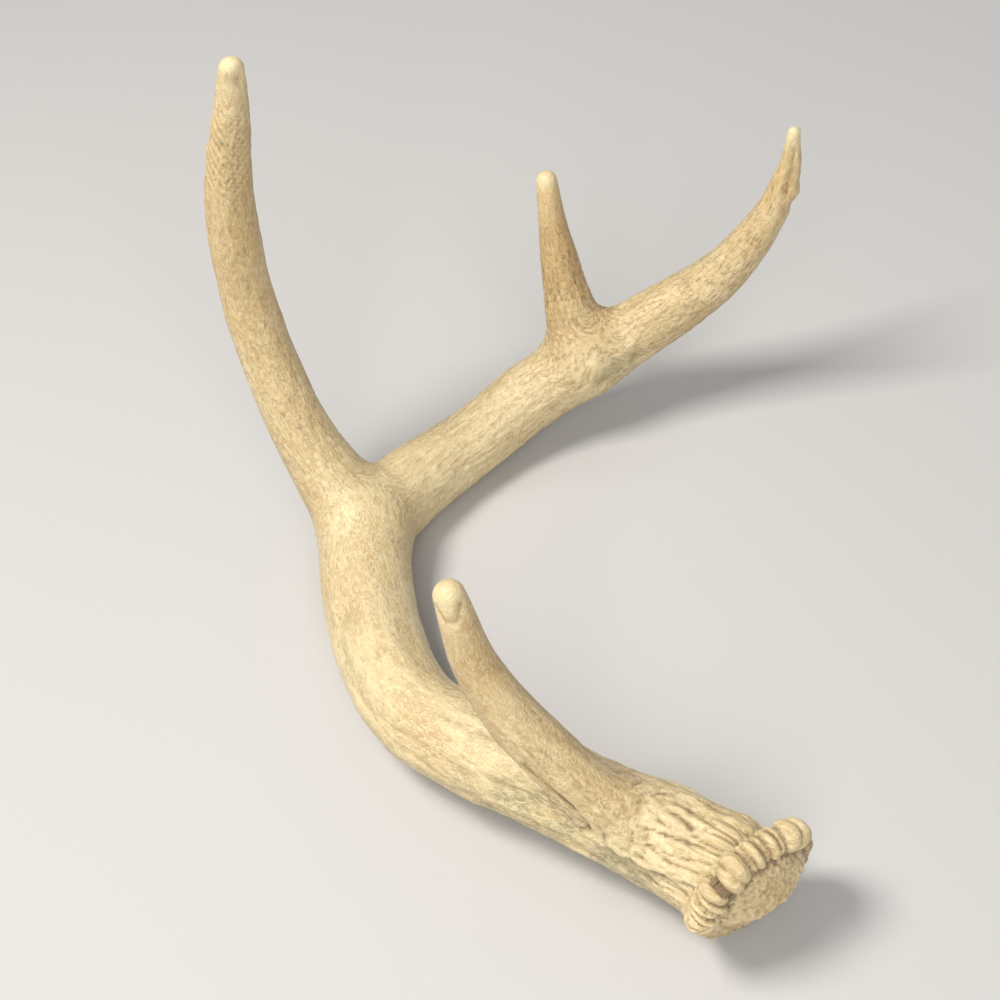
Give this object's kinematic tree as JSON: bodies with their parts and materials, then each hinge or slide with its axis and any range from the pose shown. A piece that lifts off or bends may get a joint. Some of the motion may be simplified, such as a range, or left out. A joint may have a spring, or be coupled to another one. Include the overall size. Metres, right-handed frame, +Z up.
{
  "type": "deer antler",
  "caption": "Shed white-tailed deer antler with a knobbly burr ring, domed seal, curved main beam, brow tine, tall second tine, short third tine and worn beam tip.",
  "frame": {"origin": "on the table the antler lies on, under the middle of its bounding box", "axes": "+Z up, with the tines standing up from the beam; +X to the right, from the bend of the beam towards the burr; +Y to the back, from the burr towards the beam tip"},
  "size_m": [0.2002, 0.2473, 0.1794],
  "materials": {
    "bone": "satin"
  },
  "bodies": {
    "root": {"beam_lower": "bone", "brow_tine": "bone", "beam_middle": "bone", "second_tine": "bone", "beam_upper": "bone", "third_tine": "bone", "beam_tip": "bone"}
  },
  "joints": []
}
